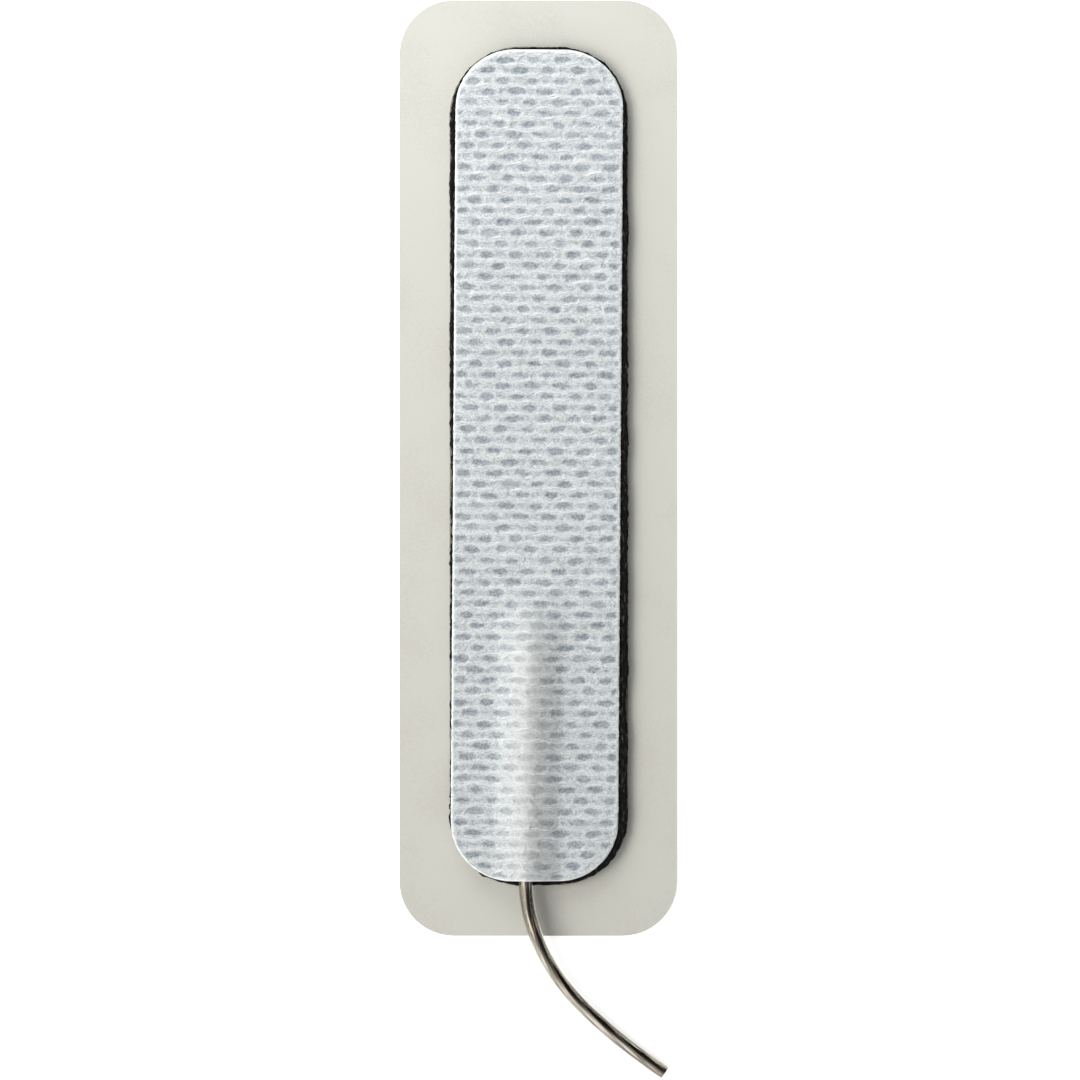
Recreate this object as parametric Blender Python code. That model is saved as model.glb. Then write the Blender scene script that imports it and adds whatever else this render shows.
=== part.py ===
"""Electrotherapy electrode pad on its release liner, modelled in Blender.

The pad lies flat with its cloth side up. From the bottom it is a laminate of a release
liner, a sheet of clear hydrogel, a black conductive layer and an embossed cloth cover.
A lead leaves at the -Y end. Its clear jacket runs on under the cloth, and its seven bare
strands fan out there on the conductive layer.

Units are metres. +Y runs along the pad, +Z is up, and the origin is the centre of the
liner's underside.
"""
import math

import bmesh
import bpy
import numpy as np
from mathutils import Matrix, Vector

MM = 0.001

# Release liner
LINER_WIDTH = 39.7 * MM
LINER_LENGTH = 133.8 * MM
LINER_CORNER = 7.8 * MM
LINER_THICKNESS = 0.15 * MM

# Hydrogel and conductive layer, cut to one outline
PAD_WIDTH = 25.4 * MM
PAD_LENGTH = 119.7 * MM
PAD_CORNER = 9.9 * MM
PAD_CENTRE = (0.1 * MM, 0.3 * MM)
GEL_THICKNESS = 0.9 * MM
GEL_EDGE_ROUND = 0.2 * MM
CONDUCTIVE_THICKNESS = 0.25 * MM

# Cloth cover, glued on slightly askew
CLOTH_WIDTH = 23.9 * MM
CLOTH_LENGTH = 119.0 * MM
CLOTH_CORNER = 8.5 * MM
CLOTH_CENTRE = (-0.18 * MM, 0.5 * MM)
CLOTH_TURN = math.radians(-0.386)
CLOTH_THICKNESS = 0.35 * MM

# Embossed dimples: rows along X, each row shifted by half a pitch like bricks. The web ran
# a little aslant through the calender, so each row also drifts aside.
DIMPLE_PITCH = 4.209 * MM
ROW_PITCH = 1.559 * MM
ROW_DRIFT = 0.141 * MM
FIRST_DIMPLE = (0.4 * MM, 0.29 * MM)
DIMPLE_LENGTH = 2.9 * MM
DIMPLE_DEPTH = 0.16 * MM

# Lead
JACKET_DIAMETER = 2.0 * MM
BORE_DIAMETER = 1.38 * MM
STRAND_DIAMETER = 0.38 * MM
STRAND_RING_RADIUS = 0.43 * MM
OUTER_STRANDS = 6
LAY_LENGTH = 45.0 * MM
STRIPPED_LENGTH = 7.2 * MM
FAN_PITCH = 0.45 * MM
FAN_STAGGER = MM / 8
FAN_STATIONS = 8
LEAD_STATIONS = 33
SPAN_STEPS = 24
BORE_OVERRUN = 0.4

# Ridge that the cloth makes over the lead: it stands between two positions along Y, with
# straight flanks, a rounded crest and a soft foot, and ends at its reach
RIDGE_FULL_Y = -28.0 * MM
RIDGE_END_Y = -14.5 * MM
RIDGE_HALF_WIDTH = 4.7 * MM
RIDGE_REACH = 5.2 * MM
CREST_ROUNDING = 1.1 * MM
SOFT_FOOT = 0.12
DOUBLED_WIDTH = 4.2 * MM

# The glue lines between the layers aren't modelled and show as this gap
GLUE_GAP = 0.02 * MM
HEADROOM = 0.05 * MM
CUTTER_MARGIN = 1.0 * MM

# Facets: along a corner's arc, round a bulged rim or a jacket's quarter, and of the cloth
CORNER_STEPS = 12
ROUND_STEPS = 2
COLUMNS_PER_PITCH = 4
LINES_PER_ROW = 2
TUNNEL_STEPS = 16
TUNNEL_STATIONS = 9
SHARP_ANGLE = math.radians(50)

# Heights of the stack
GEL_BOTTOM = LINER_THICKNESS + GLUE_GAP
CONDUCTIVE_BOTTOM = GEL_BOTTOM + GEL_THICKNESS + GLUE_GAP
CONDUCTIVE_TOP = CONDUCTIVE_BOTTOM + CONDUCTIVE_THICKNESS
CLOTH_BOTTOM = CONDUCTIVE_TOP + GLUE_GAP
CLOTH_TOP = CLOTH_BOTTOM + CLOTH_THICKNESS
LEAD_Z = CONDUCTIVE_TOP + GLUE_GAP + JACKET_DIAMETER / 2
RIDGE_HEIGHT = JACKET_DIAMETER + HEADROOM

# Route of the lead's centreline in millimetres, from inside the pad to the cut end.
# It lies straight under the cloth, then springs up a little and comes down to the table.
LEAD_INSIDE = [(-1.25, -29.7), (-1.36, -36.0), (-1.48, -42.5), (-1.60, -49.0), (-1.71, -55.0)]
LEAD_EXIT = (-1.79, -59.4)
LEAD_OUTSIDE = [
    (-1.57, -62.0, 2.46),
    (-1.00, -64.7, 2.54),
    (-0.14, -67.3, 2.52),
    (0.98, -69.7, 2.38),
    (2.35, -72.0, 2.16),
    (3.95, -74.2, 1.90),
    (5.70, -76.2, 1.64),
    (7.60, -78.1, 1.41),
    (9.58, -79.9, 1.23),
    (11.64, -81.65, 1.11),
    (13.76, -83.3, 1.05),
    (15.92, -84.9, 1.03),
    (18.10, -86.4, 1.03),
]


def remove_old_objects():
    """Empty the scene."""
    for old in list(bpy.data.objects):
        bpy.data.objects.remove(old, do_unlink=True)


def new_collection(name):
    """Make a collection and link it to the scene."""
    collection = bpy.data.collections.new(name)
    bpy.context.scene.collection.children.link(collection)
    return collection


def linear(value):
    """Turn one sRGB channel from 0-255 into linear light."""
    c = value / 255
    return c / 12.92 if c <= 0.04045 else ((c + 0.055) / 1.055) ** 2.4


def material(name, srgb, roughness, metallic=0.0, alpha=1.0):
    """Make a Principled material from an sRGB colour given as three 0-255 values."""
    result = bpy.data.materials.new(name)
    result.use_nodes = True
    shader = result.node_tree.nodes["Principled BSDF"]
    colour = [linear(v) for v in srgb]
    shader.inputs["Base Color"].default_value = (*colour, 1.0)
    shader.inputs["Roughness"].default_value = roughness
    shader.inputs["Metallic"].default_value = metallic
    shader.inputs["Alpha"].default_value = alpha
    result.diffuse_color = (*colour, alpha)
    return result


def add_object(name, data, collection, finish=None):
    """Link new object data to a collection, with its material."""
    result = bpy.data.objects.new(name, data)
    collection.objects.link(result)
    if finish:
        data.materials.append(finish)
    return result


def as_cutter(cutter):
    """Keep a Boolean cutter out of renders and show it as wire."""
    cutter.hide_render = True
    cutter.display_type = "WIRE"


def rounded_rectangle(name, width, length, corner, thickness, edge_round=0.0):
    """Make a closed 2D curve of four straight sides and four quarter arcs, filled and
    extruded to a thickness. With edge_round its side bulges in a half-round rim."""
    curve = bpy.data.curves.new(name, "CURVE")
    curve.dimensions = "2D"
    curve.fill_mode = "BOTH"
    curve.resolution_u = CORNER_STEPS
    curve.extrude = thickness / 2 - edge_round
    curve.bevel_depth = edge_round
    curve.bevel_resolution = ROUND_STEPS
    curve.offset = -edge_round
    spline = curve.splines.new("BEZIER")
    spline.bezier_points.add(7)
    spline.use_cyclic_u = True
    handle = corner * 4 / 3 * math.tan(math.pi / 8)
    half = Vector((width / 2, length / 2, 0))
    for quarter in range(4):
        angle = quarter * math.pi / 2
        out = Vector((math.cos(angle), math.sin(angle), 0))
        side = Vector((-math.sin(angle), math.cos(angle), 0))
        reach_out = abs(out.dot(half))
        reach_side = abs(side.dot(half))
        arc_start = out * reach_out + side * (reach_side - corner)
        arc_end = out * (reach_out - corner) + side * reach_side
        for point, along, index in ((arc_start, side, 0), (arc_end, -out, 1)):
            knot = spline.bezier_points[quarter * 2 + index]
            knot.co = point
            knot.handle_left_type = "FREE"
            knot.handle_right_type = "FREE"
            straight = along * (handle * 0.5)
            knot.handle_left = point - (straight if index == 0 else along * handle)
            knot.handle_right = point + (along * handle if index == 0 else straight)
    return curve


def make_sheet(name, size, corner, thickness, centre, bottom, finish, parts, edge_round=0.0):
    """Make one flat layer of the laminate with its underside at height bottom."""
    curve = rounded_rectangle(name, size[0], size[1], corner, thickness, edge_round)
    layer = add_object(name, curve, parts, finish)
    layer.location = (centre[0], centre[1], bottom + thickness / 2)
    return layer


def curve_to_mesh(source, collection):
    """Replace a curve object by a welded mesh object, so that a Boolean can use it."""
    bpy.context.view_layer.update()
    depsgraph = bpy.context.evaluated_depsgraph_get()
    mesh = bpy.data.meshes.new_from_object(source.evaluated_get(depsgraph))
    bm = bmesh.new()
    bm.from_mesh(mesh)
    bmesh.ops.remove_doubles(bm, verts=bm.verts, dist=1e-7)
    bmesh.ops.recalc_face_normals(bm, faces=bm.faces)
    bm.to_mesh(mesh)
    bm.free()
    name = source.name
    place = source.matrix_world.copy()
    bpy.data.objects.remove(source, do_unlink=True)
    result = bpy.data.objects.new(name, mesh)
    result.matrix_world = place
    collection.objects.link(result)
    return result


def lead_x(y):
    """Centreline X of the lead under the cloth, a straight line in Y."""
    x0, y0 = LEAD_INSIDE[0]
    x1, y1 = LEAD_EXIT
    return (x0 + (y / MM - y0) * (x1 - x0) / (y1 - y0)) * MM


def ridge_share(y):
    """Share of the full ridge height at Y: 1 over the jacket, easing to 0 past the fan."""
    t = min(max((RIDGE_END_Y - y) / (RIDGE_END_Y - RIDGE_FULL_Y), 0.0), 1.0)
    return t * t * (3 - 2 * t)


def ridge_height(across, y):
    """Lift of the cloth at a distance across from the lead: a tent whose flanks fall along
    a hyperbola, so that its crest is round. Its foot runs out in a parabola, and all of it
    fades along Y."""
    drop = math.hypot(across, CREST_ROUNDING) - CREST_ROUNDING
    full = math.hypot(RIDGE_HALF_WIDTH, CREST_ROUNDING) - CREST_ROUNDING
    share = 1 - drop / full
    foot = min(max(share + SOFT_FOOT, 0.0), 2 * SOFT_FOOT)
    share = max(share - SOFT_FOOT, 0.0) + foot ** 2 / (4 * SOFT_FOOT)
    return RIDGE_HEIGHT * ridge_share(y) * share


def dimple_depth(x, y):
    """Depth of the embossing at a point of the flat cloth: a paraboloid bowl at each
    brick position, as long as DIMPLE_LENGTH and as wide as one row."""
    row = round((y - FIRST_DIMPLE[1]) / ROW_PITCH)
    shift = FIRST_DIMPLE[0] + row * ROW_DRIFT + (row % 2) * DIMPLE_PITCH / 2
    column = round((x - shift) / DIMPLE_PITCH)
    along = (x - shift - column * DIMPLE_PITCH) / (DIMPLE_LENGTH / 2)
    across = (y - FIRST_DIMPLE[1] - row * ROW_PITCH) / (ROW_PITCH / 2)
    return DIMPLE_DEPTH * max(0.0, 1 - along ** 2 - across ** 2)


def embossed_slab(finish, parts, place):
    """Make the cloth before it is trimmed: a grid with four columns to a dimple pitch and
    two lines to a row, leaning with the rows' drift, doubled on the ridge, embossed, lifted
    over the lead and then pulled down to a flat underside."""
    lean = ROW_DRIFT / ROW_PITCH
    columns = COLUMNS_PER_PITCH * math.ceil((CLOTH_WIDTH + CLOTH_LENGTH * lean) / DIMPLE_PITCH)
    lines = LINES_PER_ROW * (math.ceil(CLOTH_LENGTH / ROW_PITCH) + 1)
    size = (columns * DIMPLE_PITCH / COLUMNS_PER_PITCH, lines * ROW_PITCH / LINES_PER_ROW, 1)
    bm = bmesh.new()
    bmesh.ops.create_grid(bm, x_segments=columns, y_segments=lines, size=0.5)
    bmesh.ops.scale(bm, vec=size, verts=bm.verts)
    for vertex in bm.verts:
        vertex.co.x += FIRST_DIMPLE[0] + vertex.co.y * lean
        vertex.co.y += FIRST_DIMPLE[1]
    on_ridge = []
    for edge in bm.edges:
        middle = place @ ((edge.verts[0].co + edge.verts[1].co) / 2)
        runs_across = abs(edge.verts[0].co.y - edge.verts[1].co.y) < GLUE_GAP
        near = abs(middle.x - lead_x(middle.y)) < DOUBLED_WIDTH
        if runs_across and near and middle.y < RIDGE_END_Y:
            on_ridge.append(edge)
    bmesh.ops.subdivide_edges(bm, edges=on_ridge, cuts=1)
    for vertex in bm.verts:
        world = place @ vertex.co
        ridge = ridge_height(world.x - lead_x(world.y), world.y)
        lift = ridge - dimple_depth(vertex.co.x, vertex.co.y)
        vertex.co.z = CLOTH_TOP + lift
    rim = [edge for edge in bm.edges if edge.is_boundary]
    skirt = bmesh.ops.extrude_edge_only(bm, edges=rim)["geom"]
    for vertex in (item for item in skirt if isinstance(item, bmesh.types.BMVert)):
        vertex.co.z = CLOTH_BOTTOM
    bmesh.ops.contextual_create(bm, geom=[edge for edge in bm.edges if edge.is_boundary])
    bmesh.ops.recalc_face_normals(bm, faces=bm.faces)
    mesh = bpy.data.meshes.new("cloth_cover")
    bm.to_mesh(mesh)
    bm.free()
    slab = add_object("cloth_cover", mesh, parts, finish)
    slab.matrix_world = place
    return slab


def lead_tunnel(cutters):
    """Loft the hollow under the ridge: the ridge's own sections along the lead, set below
    the cloth's top by its thickness and closed by a floor below the cloth."""
    fade = np.linspace(RIDGE_FULL_Y, RIDGE_END_Y - CUTTER_MARGIN / 2, TUNNEL_STATIONS)
    stations = [-CLOTH_LENGTH / 2 - CUTTER_MARGIN] + list(fade)
    floor = CLOTH_BOTTOM - CUTTER_MARGIN
    bm = bmesh.new()
    rings = []
    for y in stations:
        ring = [bm.verts.new((lead_x(y) + RIDGE_REACH, y, floor))]
        for across in np.linspace(RIDGE_REACH, -RIDGE_REACH, TUNNEL_STEPS + 1):
            top = CLOTH_BOTTOM - GLUE_GAP + ridge_height(across, y)
            ring.append(bm.verts.new((lead_x(y) + across, y, top)))
        ring.append(bm.verts.new((lead_x(y) - RIDGE_REACH, y, floor)))
        rings.append(ring)
    for ring, following in zip(rings, rings[1:]):
        for index in range(len(ring)):
            other = (index + 1) % len(ring)
            bm.faces.new((ring[index], ring[other], following[other], following[index]))
    bm.faces.new(rings[0])
    bm.faces.new(rings[-1])
    bmesh.ops.recalc_face_normals(bm, faces=bm.faces)
    mesh = bpy.data.meshes.new("lead_tunnel")
    bm.to_mesh(mesh)
    bm.free()
    tunnel = add_object("lead_tunnel", mesh, cutters)
    as_cutter(tunnel)
    return tunnel


def make_cloth(finish, parts, cutters):
    """Make the embossed cloth, hollow out its ridge and trim it to its rounded outline."""
    place = Matrix.Translation((*CLOTH_CENTRE, 0)) @ Matrix.Rotation(CLOTH_TURN, 4, "Z")
    slab = embossed_slab(finish, parts, place)
    height = RIDGE_HEIGHT + CLOTH_THICKNESS + 2 * CUTTER_MARGIN
    outline = rounded_rectangle("cloth_outline", CLOTH_WIDTH, CLOTH_LENGTH, CLOTH_CORNER, height)
    trim = add_object("cloth_outline", outline, cutters)
    trim.matrix_world = Matrix.Translation((0, 0, CLOTH_BOTTOM - CUTTER_MARGIN + height / 2)) @ place
    trim = curve_to_mesh(trim, cutters)
    as_cutter(trim)
    for cutter, operation in ((lead_tunnel(cutters), "DIFFERENCE"), (trim, "INTERSECT")):
        boolean = slab.modifiers.new(cutter.name, "BOOLEAN")
        boolean.object = cutter
        boolean.operation = operation
        boolean.solver = "EXACT"
    slab.data.shade_smooth()
    slab.data.set_sharp_from_angle(angle=SHARP_ANGLE)
    return slab


def smooth_route(points, count):
    """Resample a smooth curve through the points at equal distances along it.

    Between neighbours it is a Catmull-Rom span, read at SPAN_STEPS places."""
    points = np.array(points)
    padded = np.vstack([2 * points[0] - points[1], points, 2 * points[-1] - points[-2]])
    t = np.linspace(0, 1, SPAN_STEPS, endpoint=False)[:, None]
    dense = []
    for p0, p1, p2, p3 in zip(padded, padded[1:], padded[2:], padded[3:]):
        bend = (2 * p0 - 5 * p1 + 4 * p2 - p3) * t ** 2 + (3 * p1 - p0 - 3 * p2 + p3) * t ** 3
        dense.append(p1 + ((p2 - p0) * t + bend) / 2)
    dense = np.vstack(dense + [points[-1:]])
    length = np.append(0, np.cumsum(np.linalg.norm(np.diff(dense, axis=0), axis=1)))
    even = np.linspace(0, length[-1], count)
    return np.column_stack([np.interp(even, length, dense[:, axis]) for axis in range(3)])


def lead_points():
    """The lead's own route points in metres, from inside the pad to the cut end."""
    inside = [(x * MM, y * MM, LEAD_Z) for x, y in LEAD_INSIDE + [LEAD_EXIT]]
    outside = [(x * MM, y * MM, z * MM) for x, y, z in LEAD_OUTSIDE]
    return inside + outside


def tube_curve(name, points, diameter, bevel_resolution):
    """Make a round tube along the points, with filled caps."""
    curve = bpy.data.curves.new(name, "CURVE")
    curve.dimensions = "3D"
    curve.bevel_depth = diameter / 2
    curve.bevel_resolution = bevel_resolution
    curve.use_fill_caps = True
    spline = curve.splines.new("POLY")
    spline.points.add(len(points) - 1)
    for knot, point in zip(spline.points, points):
        knot.co = (*point, 1)
    return curve


def make_jacket(finish, parts, cutters):
    """Make the clear jacket: a round tube along the lead with a bore right through it."""
    route = smooth_route(lead_points(), LEAD_STATIONS)
    tube = tube_curve("lead_jacket", route, JACKET_DIAMETER, ROUND_STEPS)
    outer = add_object("lead_jacket", tube, parts)
    jacket = curve_to_mesh(outer, parts)
    jacket.data.materials.append(finish)
    first = route[0] - (route[1] - route[0]) * BORE_OVERRUN
    last = route[-1] + (route[-1] - route[-2]) * BORE_OVERRUN
    through = np.vstack([first, route, last])
    tube = tube_curve("jacket_bore", through, BORE_DIAMETER, ROUND_STEPS)
    bore = curve_to_mesh(add_object("jacket_bore", tube, cutters), cutters)
    as_cutter(bore)
    boolean = jacket.modifiers.new("bore", "BOOLEAN")
    boolean.object = bore
    boolean.operation = "DIFFERENCE"
    boolean.solver = "EXACT"
    jacket.data.shade_smooth()
    jacket.data.set_sharp_from_angle(angle=SHARP_ANGLE)
    return jacket


def strand_points(index, route):
    """Centreline of one strand, from its tip in the fan to the lead's cut end.

    Strand 0 is the straight core. The others circle it once in each lay length. Past the
    jacket's inner end all of them ease down onto the conductive layer and spread."""
    step = np.linalg.norm(route[1] - route[0])
    ring_radius = STRAND_RING_RADIUS if index else 0.0
    inside = []
    for number, point in enumerate(route):
        before = route[max(number - 1, 0)]
        after = route[min(number + 1, len(route) - 1)]
        along = Vector(after - before).normalized()
        side = along.cross(Vector((0, 0, 1))).normalized()
        up = side.cross(along)
        turn = 2 * math.pi * (index / OUTER_STRANDS - number * step / LAY_LENGTH)
        inside.append(Vector(point) + (side * math.cos(turn) + up * math.sin(turn)) * ring_radius)
    fan = []
    start = inside[0]
    rest_z = CONDUCTIVE_TOP + GLUE_GAP + STRAND_DIAMETER / 2
    order = fan_place(index)
    reach = STRIPPED_LENGTH - abs(order) * FAN_STAGGER
    for number in range(FAN_STATIONS, 0, -1):
        t = number / FAN_STATIONS
        ease = t * t * (3 - 2 * t)
        y = start.y + reach * t
        x = start.x + (lead_x(y) + order * FAN_PITCH - start.x) * ease
        fan.append(Vector((x, y, start.z + (rest_z - start.z) * ease)))
    return fan + inside


def fan_place(index):
    """Place of a strand in the fan, counted in pitches from the middle.

    It follows the strand's side in the jacket, so that no two strands cross."""
    if index == 0:
        return 0
    angle = 2 * math.pi * index / OUTER_STRANDS
    side = -round(math.cos(angle) * 2)
    outermost = abs(side) == 2
    upper = index in range(1, OUTER_STRANDS // 2)
    return side + (1 if side > 0 else -1) * (1 if outermost or upper else 0)


def make_strands(finish, parts):
    """Make the seven strands of the conductor, each a wire in its own object."""
    route = smooth_route(lead_points(), LEAD_STATIONS)
    strands = []
    for index in range(OUTER_STRANDS + 1):
        name = f"conductor_strand_{index + 1}"
        curve = tube_curve(name, strand_points(index, route), STRAND_DIAMETER, 1)
        strands.append(add_object(name, curve, parts, finish))
    return strands


def main():
    """Build the pad."""
    remove_old_objects()
    parts = new_collection("electrode_pad")
    cutters = new_collection("cutters")

    liner_film = material("silicone coated film", (214, 212, 204), 0.45)
    hydrogel = material("clear hydrogel", (222, 224, 214), 0.12, alpha=0.5)
    carbon_film = material("carbon filled film", (24, 24, 25), 0.55)
    nonwoven = material("nonwoven cloth", (226, 232, 235), 0.9)
    clear_vinyl = material("clear vinyl", (205, 208, 206), 0.1, alpha=0.35)
    tinned_wire = material("tinned copper wire", (150, 140, 125), 0.3, metallic=1.0)

    make_sheet("release_liner", (LINER_WIDTH, LINER_LENGTH), LINER_CORNER, LINER_THICKNESS,
               (0, 0), 0, liner_film, parts)
    make_sheet("hydrogel_layer", (PAD_WIDTH, PAD_LENGTH), PAD_CORNER, GEL_THICKNESS,
               PAD_CENTRE, GEL_BOTTOM, hydrogel, parts, GEL_EDGE_ROUND)
    make_sheet("conductive_layer", (PAD_WIDTH, PAD_LENGTH), PAD_CORNER, CONDUCTIVE_THICKNESS,
               PAD_CENTRE, CONDUCTIVE_BOTTOM, carbon_film, parts)
    make_cloth(nonwoven, parts, cutters)
    make_jacket(clear_vinyl, parts, cutters)
    make_strands(tinned_wire, parts)


main()
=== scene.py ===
import bpy
import numpy as np
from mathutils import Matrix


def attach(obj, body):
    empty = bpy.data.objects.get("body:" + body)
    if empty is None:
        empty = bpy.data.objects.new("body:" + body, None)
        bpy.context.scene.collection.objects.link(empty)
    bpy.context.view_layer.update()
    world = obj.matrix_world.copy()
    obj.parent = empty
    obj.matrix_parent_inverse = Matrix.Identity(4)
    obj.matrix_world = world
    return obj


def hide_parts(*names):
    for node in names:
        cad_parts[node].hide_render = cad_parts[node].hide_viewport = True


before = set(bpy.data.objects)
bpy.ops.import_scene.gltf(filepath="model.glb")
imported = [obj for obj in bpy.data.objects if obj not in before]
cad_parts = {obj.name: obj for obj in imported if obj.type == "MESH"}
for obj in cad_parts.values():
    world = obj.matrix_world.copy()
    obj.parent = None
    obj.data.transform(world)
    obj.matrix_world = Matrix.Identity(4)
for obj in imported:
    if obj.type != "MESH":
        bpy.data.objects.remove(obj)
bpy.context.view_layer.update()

MM = 0.001

# Layers of the pad, as in the CAD
PAD_SIZE = (25.4, 119.7)
PAD_CORNER = 9.9
PAD_CENTRE = (0.1, 0.3)
GEL_BOTTOM, GEL_TOP = 0.17, 1.07
FILM_BOTTOM, FILM_TOP = 1.09, 1.34
CLOTH_SIZE = (23.9, 119.0)
CLOTH_CORNER = 8.5
CLOTH_CENTRE = (-0.18, 0.5)
CLOTH_TURN = np.radians(-0.386)
CLOTH_BOTTOM, CLOTH_TOP = 1.36, 1.71

# Cut rims of the gel and the film, as (outset, height) pairs from the underside up
GEL_RIM = [
    (-2.0, GEL_BOTTOM), (-0.12, GEL_BOTTOM), (0.0, GEL_BOTTOM + 0.1), (0.04, GEL_BOTTOM + 0.35),
    (0.02, GEL_TOP - 0.25), (-0.06, GEL_TOP - 0.06), (-0.2, GEL_TOP), (-2.0, GEL_TOP),
]
FILM_RIM = [
    (-2.5, FILM_BOTTOM), (-0.08, FILM_BOTTOM), (-0.05, FILM_BOTTOM + 0.03),
    (-0.05, FILM_TOP - 0.06), (-0.1, FILM_TOP), (-0.3, FILM_TOP + 0.01), (-0.7, FILM_TOP),
    (-2.5, FILM_TOP),
]

# The cloth's far end is cut a little short: drawn in by this much over its last stretch
FAR_END_CUT = 0.22
FAR_END_START, FAR_END_STRETCH = 50, 9

# Rim of the cloth, melted down by the cutter: how wide, how far down, and how much wider
# along the far end, where it starts a little sooner on the left
MELT_WIDTH = 0.24
MELT_FALL = 0.16
FAR_END_MELT = 0.3

# Embossing of the cloth: rows of dimples, every second row shifted by half a pitch, and
# each row drifting aside. A table of rows and columns holds each dimple's own shape, and
# the fibres are laid over so many rows and columns each way from the middle
DIMPLE_PITCH = 4.209
ROW_PITCH = 1.559
ROW_DRIFT = 0.141
FIRST_DIMPLE = (0.4, 0.29)
DIMPLE_DEPTH = 0.17
DIMPLE_ROWS, DIMPLE_COLUMNS = 90, 20
ROWS_EACH_WAY, COLUMNS_EACH_WAY = 39, 6

# Lead
LEAD_Z = 2.36
JACKET_RADIUS = 1.0
STRAND_RADIUS = 0.19
STRAND_RING_RADIUS = 0.43
OUTER_STRANDS = 6
LAY_LENGTH = 45.0
STRIPPED_LENGTH = 7.2
FAN_PITCH = 0.45
FAN_STAGGER = 0.125
FAN_STATIONS = 40

# Outer strands as they are pressed together in the jacket: sectors of a smooth bundle
BUNDLE_RADIUS = 0.59
SECTOR_INNER_RADIUS = 0.215
SECTOR_HALF_ANGLE = np.radians(29.8)
SECTOR_POWER = 0.1
STRAND_SIDES = 28
CRISP_ANGLE = np.radians(50)

# Route of the lead's centreline
LEAD_INSIDE = [(-1.25, -29.7), (-1.36, -36.0), (-1.48, -42.5), (-1.60, -49.0), (-1.71, -55.0)]
LEAD_EXIT = (-1.79, -59.4)
LEAD_OUTSIDE = [
    (-1.57, -62.0, 2.46), (-1.00, -64.7, 2.54), (-0.14, -67.3, 2.52), (0.98, -69.7, 2.38),
    (2.35, -72.0, 2.16), (3.95, -74.2, 1.90), (5.70, -76.2, 1.64), (7.60, -78.1, 1.41),
    (9.58, -79.9, 1.23), (11.64, -81.65, 1.11), (13.76, -83.3, 1.05), (15.92, -84.9, 1.03),
    (18.10, -86.4, 1.03),
]

# Ridge that the cloth makes over the lead
RIDGE_FULL_Y = -28.0
RIDGE_END_Y = -14.5
RIDGE_HALF_WIDTH = 4.7
CREST_ROUNDING = 1.1
SOFT_FOOT = 0.12
RIDGE_HEIGHT = 2.05


# Camera, light and floor


def colour(code):
    """Linear RGBA from an sRGB hex code."""
    srgb = np.array([int(code[i:i + 2], 16) for i in (1, 3, 5)]) / 255
    rgb = np.where(srgb <= 0.04045, srgb / 12.92, ((srgb + 0.055) / 1.055) ** 2.4)
    return (*rgb.tolist(), 1.0)


def node(tree, kind, inputs=None, stops=None, **settings):
    """Add one shader node. Settings are its properties. Inputs are its sockets by name or
    number, each a constant or another node's output. Stops fill a colour ramp."""
    made = tree.nodes.new(kind)
    for name, value in settings.items():
        setattr(made, name, value)
    for name, value in (inputs or {}).items():
        if isinstance(value, bpy.types.NodeSocket):
            tree.links.new(value, made.inputs[name])
        else:
            made.inputs[name].default_value = value
    for index, (place, code) in enumerate(stops or []):
        ramp = made.color_ramp.elements
        stop = ramp[index] if index < len(ramp) else ramp.new(place)
        stop.position = place
        stop.color = colour(code)
    return made


def new_material(name):
    """A material with its Principled shader's tree and shader."""
    made = bpy.data.materials.new(name)
    made.use_nodes = True
    return made, made.node_tree, made.node_tree.nodes["Principled BSDF"]


def add_object(name, data, material=None):
    """Link an object and give it its material."""
    made = bpy.data.objects.new(name, data)
    bpy.context.scene.collection.objects.link(made)
    if material:
        data.materials.append(material)
    return made


def make_camera():
    """Looks straight down at the pad from 1.2 m. Its 1080 px frame is 154.3 mm wide there,
    7 px to a millimetre."""
    camera = bpy.data.cameras.new("camera")
    camera.sensor_width = 36.0
    camera.lens = 280.0
    camera.clip_end = 20.0
    made = add_object("camera", camera)
    made.location = (0.26 * MM, -10.29 * MM, 1.2015)
    bpy.context.scene.camera = made


def area_light(name, direction, distance, size, power, code):
    """A softbox that looks at the pad from a direction, its size (level, upright) in metres."""
    lamp = bpy.data.lights.new(name, "AREA")
    lamp.shape = "RECTANGLE"
    lamp.size, lamp.size_y = size
    lamp.energy = power
    lamp.color = colour(code)[:3]
    made = add_object(name, lamp)
    along = np.array(direction) / np.linalg.norm(direction)
    made.location = along * distance
    made.rotation_euler = made.location.to_track_quat("Z", "Y").to_euler()


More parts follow.
